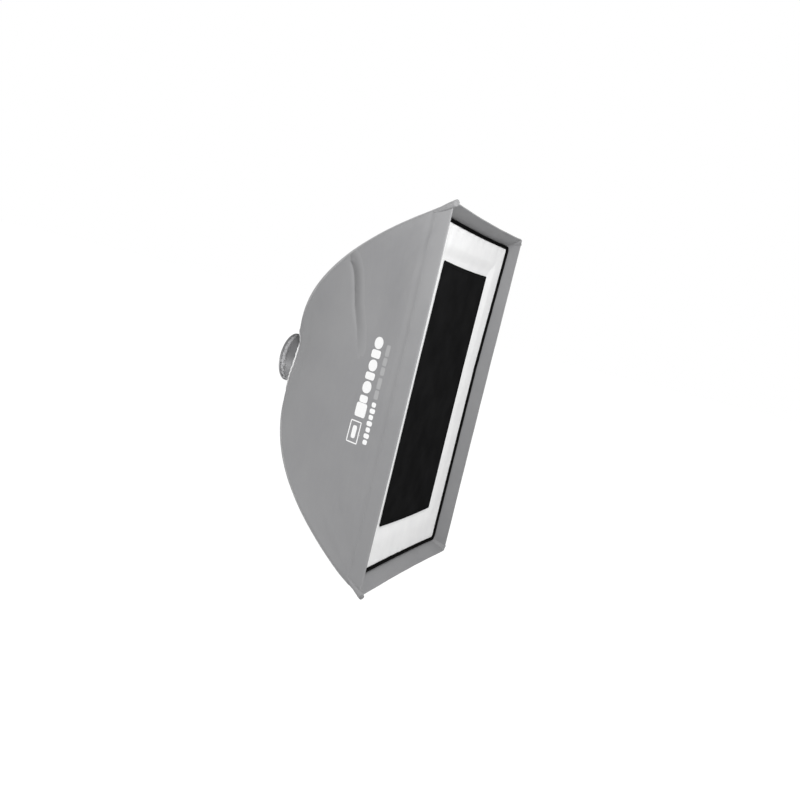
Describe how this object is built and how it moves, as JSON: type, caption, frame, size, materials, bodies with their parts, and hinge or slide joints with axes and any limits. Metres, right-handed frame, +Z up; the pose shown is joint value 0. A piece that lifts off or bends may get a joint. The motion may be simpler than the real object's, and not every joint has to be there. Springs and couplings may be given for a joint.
{
  "type": "rectangular fabric softbox",
  "caption": "Rectangular fabric softbox on a swivelling speedring, with a recessed white front diffuser and a black centre mask that narrows it to a bright border.",
  "frame": {"origin": "centre of the lamp collar's mouth, at the back of the softbox", "axes": "+Y out of the collar towards the lamp, so light leaves along -Y; +Z up along the long side of the front; +X to the right seen from behind the lamp"},
  "size_m": [0.6024, 0.4581, 0.9],
  "materials": {
    "shell_cloth": "woven grey polyester, coated silver-white inside",
    "corner_webbing": "doubled grey webbing",
    "sleeve_cloth": "grey cloth tunnel",
    "piping": "light grey corded edge",
    "diffuser_cloth": "white diffusion cloth",
    "black_binding": "black woven binding",
    "hook_and_loop": "black hook-and-loop tape",
    "mask_cloth": "black opaque cloth",
    "spring_steel": "drawn spring steel",
    "plated_steel": "zinc plated",
    "rubber": "matt",
    "cast_aluminium": "dark grey powder coat",
    "collar_grey": "grey anodised, turned",
    "grip_plastic": "moulded, light grey pads",
    "knob_plastic": "moulded, fine texture"
  },
  "bodies": {
    "lamp_collar": {"lamp_collar": "collar_grey", "collar_liner": "rubber", "grip_ring": "grip_plastic", "retaining_ring": "cast_aluminium", "retaining_screws": "plated_steel"},
    "clamp_shoe": {"clamp_shoe": "rubber"},
    "clamp_knob": {"clamp_knob": "knob_plastic", "clamp_screw": "plated_steel"},
    "front_diffuser": {"front_diffuser": "diffuser_cloth", "diffuser_border": "black_binding", "diffuser_hook_tape": "hook_and_loop"},
    "center_mask": {"center_mask": "mask_cloth", "mask_hook_tape": "hook_and_loop"},
    "lock_washer": {"lock_washer": "plated_steel"},
    "lock_knob": {"lock_knob": "knob_plastic", "lock_screw": "plated_steel"},
    "softbox": {"baffle_binding": "black_binding", "baffle_snaps": "plated_steel", "baffle_straps": "black_binding", "corner_pocket_1": "corner_webbing", "corner_pocket_2": "corner_webbing", "corner_pocket_3": "corner_webbing", "corner_pocket_4": "corner_webbing", "inner_baffle": "diffuser_cloth", "lip_bottom": "shell_cloth", "lip_left": "shell_cloth", "lip_loop_tape": "hook_and_loop", "lip_right": "shell_cloth", "lip_top": "shell_cloth", "rear_hem": "piping", "ring_body": "cast_aluminium", "rod_1": "spring_steel", "rod_2": "spring_steel", "rod_3": "spring_steel", "rod_4": "spring_steel", "rod_end_caps": "rubber", "rod_set_screws": "plated_steel", "rod_sleeve_1": "sleeve_cloth", "rod_sleeve_2": "sleeve_cloth", "rod_sleeve_3": "sleeve_cloth", "rod_sleeve_4": "sleeve_cloth", "rod_socket_1": "plated_steel", "rod_socket_2": "plated_steel", "rod_socket_3": "plated_steel", "rod_socket_4": "plated_steel", "seam_piping_1": "piping", "seam_piping_2": "piping", "seam_piping_3": "piping", "seam_piping_4": "piping", "shell_panel_bottom": "shell_cloth", "shell_panel_left": "shell_cloth", "shell_panel_right": "shell_cloth", "shell_panel_top": "shell_cloth"}
  },
  "joints": [
    {"name": "swivel", "type": "hinge", "parent": "lamp_collar", "child": "softbox", "pos_m": [0, -0.037, 0], "axis": [0, 1, 0], "continuous": true},
    {"name": "clamp_travel", "type": "slide", "parent": "lamp_collar", "child": "clamp_shoe", "axis": [-1, 0, 0], "range_m": [0, 0.002]},
    {"name": "clamp_turn", "type": "hinge", "parent": "clamp_shoe", "child": "clamp_knob", "pos_m": [0.075, -0.012, 0], "axis": [1, 0, 0], "range_deg": [-720, 0]},
    {"name": "lock_travel", "type": "slide", "parent": "softbox", "child": "lock_washer", "axis": [1, 0, 0], "range_m": [0, 0.001]},
    {"name": "lock_turn", "type": "hinge", "parent": "lock_washer", "child": "lock_knob", "pos_m": [0.082, -0.0375, 0], "axis": [1, 0, 0], "range_deg": [0, 360]},
    {"name": "diffuser_pull_off", "type": "slide", "parent": "softbox", "child": "front_diffuser", "axis": [0, -1, 0], "range_m": [0, 0.25]},
    {"name": "mask_pull_off", "type": "slide", "parent": "front_diffuser", "child": "center_mask", "axis": [0, -1, 0], "range_m": [0, 0.12]}
  ],
  "couplings": [
    {"joint": "clamp_turn", "follows": "clamp_travel", "rad_per_m": -6283.2},
    {"joint": "lock_turn", "follows": "lock_travel", "rad_per_m": 6283.2}
  ]
}
